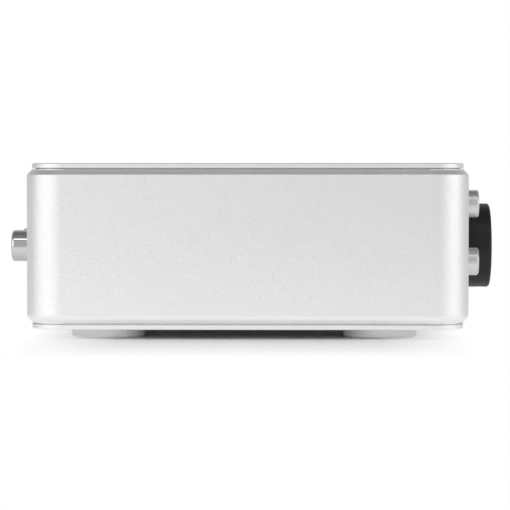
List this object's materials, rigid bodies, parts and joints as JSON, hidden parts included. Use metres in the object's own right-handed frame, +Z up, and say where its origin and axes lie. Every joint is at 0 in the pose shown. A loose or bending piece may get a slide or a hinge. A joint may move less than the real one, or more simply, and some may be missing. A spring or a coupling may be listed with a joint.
{
  "type": "direct injection box",
  "caption": "Low rounded aluminium box on pads, with a level knob, push buttons and an XLR socket at one end and chrome jack sockets at the other.",
  "frame": {"origin": "on the surface the pads stand on, below the middle of the case", "axes": "+X along the box towards the knob and button end, +Y across it away from the button side, +Z up"},
  "size_m": [0.1594, 0.106, 0.056],
  "materials": {
    "case": "fine bead-blasted, clear anodised",
    "chrome": "polished chrome plate",
    "button": "satin turned",
    "knob": "satin black",
    "pointer": "white",
    "foot": "light grey, satin",
    "steel": "zinc plated",
    "brass": "plain",
    "silver_plate": "silver plated",
    "board": "green solder mask",
    "black_plastic": "moulded",
    "laminations": "stacked sheet",
    "winding": "taped coil",
    "capacitor": "sleeved can",
    "film": "box film",
    "resistor": "lacquered"
  },
  "bodies": {
    "case": {"case_tube": "case", "top_plate": "case", "bottom_plate": "case", "top_plate_screws": "steel", "bottom_plate_screws": "steel", "standoff_screws": "steel", "board_screws": "steel", "xlr_screws": "steel", "transformer_screws": "steel", "transformer_nuts": "steel", "foot_jack_end_near": "foot", "foot_jack_end_far": "foot", "foot_control_end_near": "foot", "foot_control_end_far": "foot", "main_board": "board", "front_board": "board", "board_connector": "black_plastic", "connector_pins": "brass", "standoffs": "brass", "pot_body": "black_plastic", "pot_bushing": "brass", "pot_washer": "steel", "pot_nut": "steel", "pad_switch_body": "black_plastic", "ground_switch_body": "black_plastic", "input_jack_body": "black_plastic", "thru_jack_body": "black_plastic", "input_jack_contacts": "brass", "thru_jack_contacts": "brass", "input_jack_ferrule": "chrome", "thru_jack_ferrule": "chrome", "xlr_housing": "black_plastic", "xlr_insert": "black_plastic", "xlr_pins": "silver_plate", "transformer_core": "laminations", "transformer_bobbin": "black_plastic", "transformer_winding": "winding", "transformer_strap": "steel", "electrolytic_capacitors": "capacitor", "amplifier_chips": "black_plastic", "film_capacitors": "film", "resistors": "resistor"},
    "level_knob": {"knob": "knob", "knob_pointer": "pointer", "knob_insert": "brass", "knob_set_screw": "steel", "pot_shaft": "steel", "pot_wiper": "black_plastic"},
    "pad_switch": {"pad_button": "button", "pad_plunger": "pointer"},
    "ground_switch": {"ground_button": "button", "ground_plunger": "pointer"}
  },
  "joints": [
    {"name": "level_turn", "type": "hinge", "parent": "case", "child": "level_knob", "pos_m": [0.071, -0.006, 0.0288], "axis": [-1, 0, 0], "range_deg": [-150, 150]},
    {"name": "pad_press", "type": "slide", "parent": "case", "child": "pad_switch", "axis": [-1, 0, 0], "range_m": [0, 0.003], "stiffness_N_per_m": 400, "springref_m": -0.002},
    {"name": "ground_press", "type": "slide", "parent": "case", "child": "ground_switch", "axis": [-1, 0, 0], "range_m": [0, 0.003], "stiffness_N_per_m": 400, "springref_m": -0.002}
  ]
}
